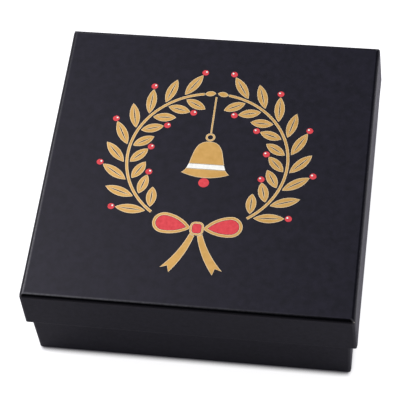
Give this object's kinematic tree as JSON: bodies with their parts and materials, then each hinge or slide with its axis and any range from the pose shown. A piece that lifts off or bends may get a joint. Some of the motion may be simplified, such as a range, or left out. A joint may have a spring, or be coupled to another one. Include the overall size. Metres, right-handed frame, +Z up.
{
  "type": "rigid gift box",
  "caption": "Square two-piece rigid paper box: a greyboard tray and a lift-off lid with a deep skirt, wrapped in dark paper, with a foiled and printed wreath on the lid.",
  "frame": {"origin": "on the table, under the middle of the closed box", "axes": "+X along the front edge to the right, +Y from the front edge to the back edge, +Z up, the way the lid lifts off"},
  "size_m": [0.2, 0.2, 0.0701],
  "materials": {
    "dark_wrap": "satin",
    "dark_lining": "matte",
    "greyboard": "matte",
    "stay_paper": "matte",
    "gold_foil": "satin",
    "red_ink": "satin",
    "white_ink": "matte"
  },
  "bodies": {
    "tray": {"base_board_panel": "greyboard", "base_board_wall_front": "greyboard", "base_board_wall_back": "greyboard", "base_board_wall_left": "greyboard", "base_board_wall_right": "greyboard", "base_corner_stay_front_left": "stay_paper", "base_corner_stay_front_right": "stay_paper", "base_corner_stay_back_left": "stay_paper", "base_corner_stay_back_right": "stay_paper", "base_wrap": "dark_wrap", "base_liner": "dark_lining", "base_bottom_sheet": "dark_wrap"},
    "lid": {"lid_board_panel": "greyboard", "lid_board_wall_front": "greyboard", "lid_board_wall_back": "greyboard", "lid_board_wall_left": "greyboard", "lid_board_wall_right": "greyboard", "lid_corner_stay_front_left": "stay_paper", "lid_corner_stay_front_right": "stay_paper", "lid_corner_stay_back_left": "stay_paper", "lid_corner_stay_back_right": "stay_paper", "lid_wrap": "dark_wrap", "lid_liner": "dark_lining", "gold_foil": "gold_foil", "red_print": "red_ink", "white_print": "white_ink"}
  },
  "joints": [
    {"name": "lid_lift", "type": "slide", "parent": "tray", "child": "lid", "axis": [0, 0, 1], "range_m": [0, 0.12]}
  ]
}
